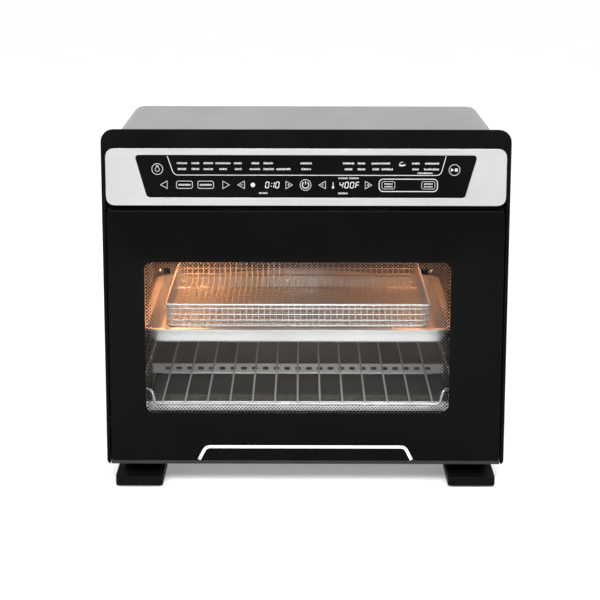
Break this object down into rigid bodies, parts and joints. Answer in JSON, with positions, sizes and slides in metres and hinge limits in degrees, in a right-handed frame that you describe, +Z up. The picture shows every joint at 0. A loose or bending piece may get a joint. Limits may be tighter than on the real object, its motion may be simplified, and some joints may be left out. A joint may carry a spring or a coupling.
{
  "type": "toaster oven",
  "caption": "Countertop air-fryer toaster oven with a drop-down glass door, touch control band, wire rack, baking pan, mesh basket and convection fan.",
  "frame": {"origin": "on the counter under the middle of the oven's bounding box", "axes": "+Z up, the front faces -Y, +X to the right seen from the front"},
  "size_m": [0.445, 0.4024, 0.403],
  "materials": {
    "brushed_wrap": "brushed lengthways",
    "brushed_fascia": "fine horizontal brushing",
    "black_trim": "satin black",
    "black_enamel": "satin black enamel",
    "touch_lens": "gloss black",
    "black_glass": "black printed border around a clear window",
    "clear_glass": "clear",
    "zinc_sheet": "zinc coated sheet",
    "cavity_lining": "grey non-stick coating",
    "bright_steel": "bright",
    "chrome_wire": "bright plated wire",
    "basket_mesh": "bright woven wire",
    "pan_coat": "light grey enamel",
    "element_sheath": "heat-browned sheath",
    "ceramic_white": "unglazed",
    "soft_rubber": "matt",
    "board_green": "circuit board"
  },
  "bodies": {
    "root": {"outer_wrap": "brushed_wrap", "rear_cover": "black_enamel", "base_pan": "zinc_sheet", "rear_spacer_left": "black_trim", "rear_spacer_right": "black_trim", "cord_gland": "black_trim", "front_bezel": "black_trim", "control_fascia": "brushed_fascia", "control_lens": "touch_lens", "control_board": "board_green", "cavity_left_wall": "cavity_lining", "cavity_right_wall": "cavity_lining", "cavity_floor": "cavity_lining", "cavity_ceiling": "cavity_lining", "cavity_back_wall": "cavity_lining", "cavity_front_frame": "zinc_sheet", "door_gasket": "soft_rubber", "upper_front_element": "element_sheath", "upper_rear_element": "element_sheath", "lower_front_element": "element_sheath", "lower_rear_element": "element_sheath", "upper_insulator_left": "ceramic_white", "upper_insulator_right": "ceramic_white", "lower_insulator_left": "ceramic_white", "lower_insulator_right": "ceramic_white", "front_element_guard": "bright_steel", "rear_element_guard": "bright_steel", "fan_motor": "zinc_sheet", "motor_bracket": "zinc_sheet", "fan_cover": "bright_steel", "lamp_cover": "clear_glass", "lamp_bulb": "clear_glass", "lamp_holder": "ceramic_white", "temperature_sensor": "bright_steel", "probe_jack": "bright_steel", "power_board": "board_green", "hinge_bracket_left": "zinc_sheet", "hinge_bracket_right": "zinc_sheet", "foot_front_left": "black_trim", "foot_pad_front_left": "soft_rubber", "foot_front_right": "black_trim", "foot_pad_front_right": "soft_rubber", "foot_rear_left": "black_trim", "foot_pad_rear_left": "soft_rubber", "foot_rear_right": "black_trim", "foot_pad_rear_right": "soft_rubber"},
    "door": {"door_outer_glass": "black_glass", "door_frame": "black_enamel", "door_inner_glass": "clear_glass", "door_glass_spacer": "zinc_sheet", "hinge_pin_left": "bright_steel", "hinge_pin_right": "bright_steel"},
    "rack": {"rack_frame": "chrome_wire", "rack_grid": "chrome_wire"},
    "pan": {"baking_pan": "pan_coat"},
    "basket": {"air_fry_basket": "basket_mesh"},
    "crumb_tray": {"crumb_tray": "zinc_sheet"},
    "fan": {"fan_shaft": "bright_steel", "convection_blade": "zinc_sheet", "cooling_blade": "zinc_sheet"}
  },
  "joints": [
    {"name": "door_hinge", "type": "hinge", "parent": "root", "child": "door", "pos_m": [0, -0.18685, 0.0355], "axis": [1, 0, 0], "range_deg": [0, 90]},
    {"name": "rack_slide", "type": "slide", "parent": "root", "child": "rack", "axis": [0, -1, 0], "range_m": [0, 0.1183]},
    {"name": "pan_slide", "type": "slide", "parent": "root", "child": "pan", "axis": [0, -1, 0], "range_m": [0, 0.189]},
    {"name": "tray_slide", "type": "slide", "parent": "root", "child": "crumb_tray", "axis": [0, -1, 0], "range_m": [0, 0.0319]},
    {"name": "basket_lift", "type": "slide", "parent": "pan", "child": "basket", "axis": [0, 0, 1], "range_m": [0, 0.04]},
    {"name": "fan_spin", "type": "hinge", "parent": "root", "child": "fan", "pos_m": [-0.009, -0.00585, 0.3], "axis": [0, 0, 1], "continuous": true}
  ],
  "couplings": [
    {"joint": "rack_slide", "follows": "door_hinge", "m_per_rad": 0.075},
    {"joint": "pan_slide", "follows": "door_hinge", "m_per_rad": 0.12},
    {"joint": "tray_slide", "follows": "door_hinge", "m_per_rad": 0.02}
  ]
}
